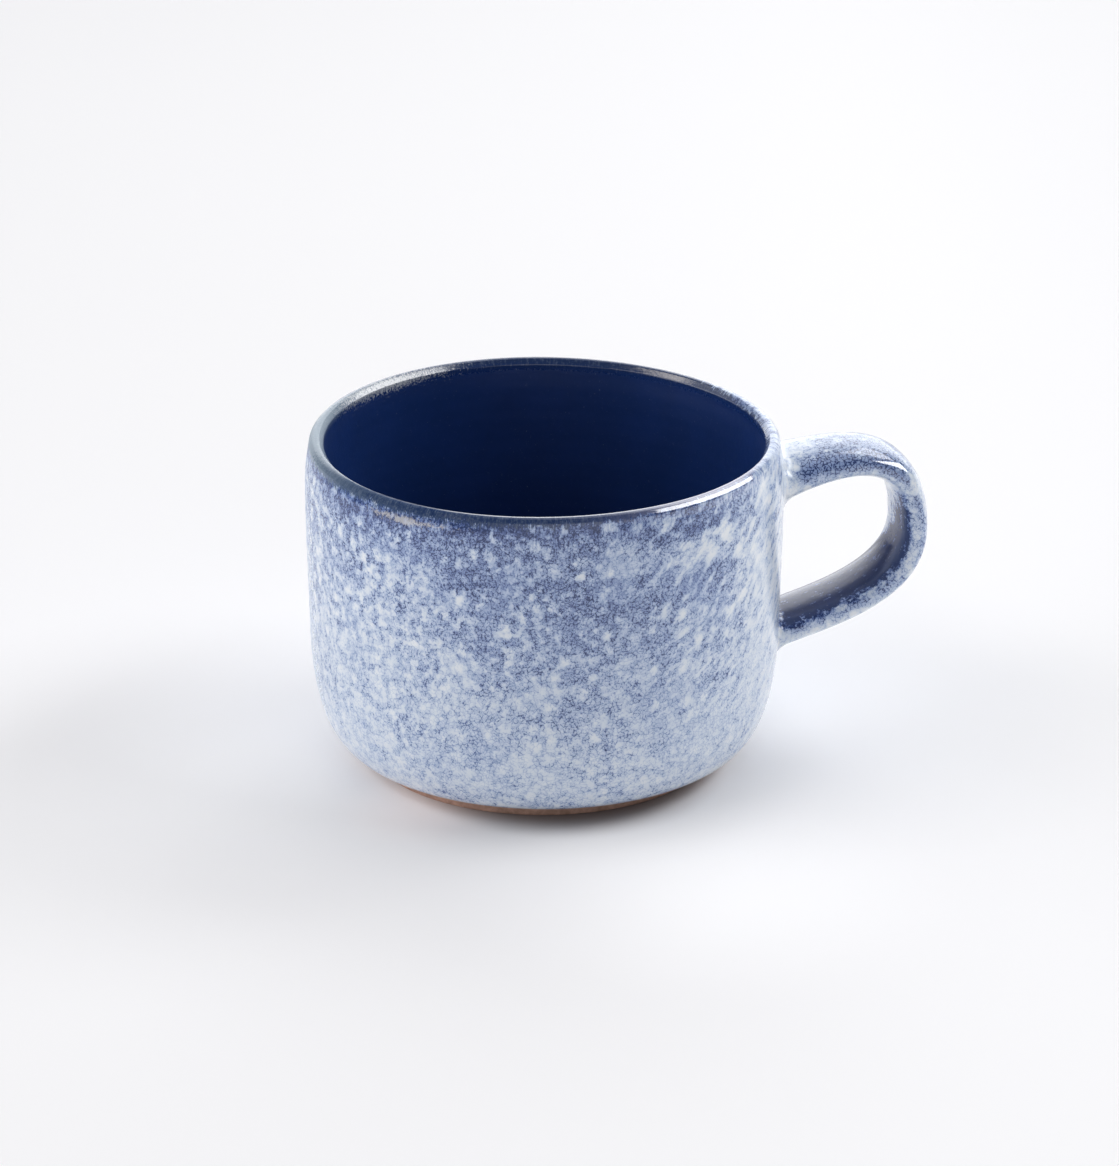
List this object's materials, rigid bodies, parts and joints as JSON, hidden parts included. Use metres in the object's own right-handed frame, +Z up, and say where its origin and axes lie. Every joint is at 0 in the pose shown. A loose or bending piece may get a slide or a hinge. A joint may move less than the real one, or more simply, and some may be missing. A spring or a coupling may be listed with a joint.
{
  "type": "ceramic mug",
  "caption": "Low, wide stoneware mug with a one-finger strap handle, speckled blue outside, deep blue liner and a bare clay foot.",
  "frame": {"origin": "on the cup's axis, in the plane that the foot rests on", "axes": "+Z up along the cup's axis, +X towards the handle, +Y square to both, across the handle's width"},
  "size_m": [0.1273, 0.096, 0.0675],
  "materials": {
    "fired_clay": "bare fired stoneware, warm brown, matt and slightly gritty",
    "fired_slip": "bare fired slip, smooth and matt",
    "speckled_glaze": "glossy pale blue-white glaze broken by fine indigo speckle and cream spots",
    "rim_glaze": "glossy grey-teal band where the outer glaze and the liner overlap",
    "liner_glaze": "satin deep cobalt blue"
  },
  "bodies": {
    "root": {"cup_body": "fired_clay", "handle": "fired_clay", "upper_slip_joint": "fired_slip", "lower_slip_joint": "fired_slip", "outer_glaze": "speckled_glaze", "handle_glaze": "speckled_glaze", "rim_glaze": "rim_glaze", "liner_glaze": "liner_glaze"}
  },
  "joints": []
}
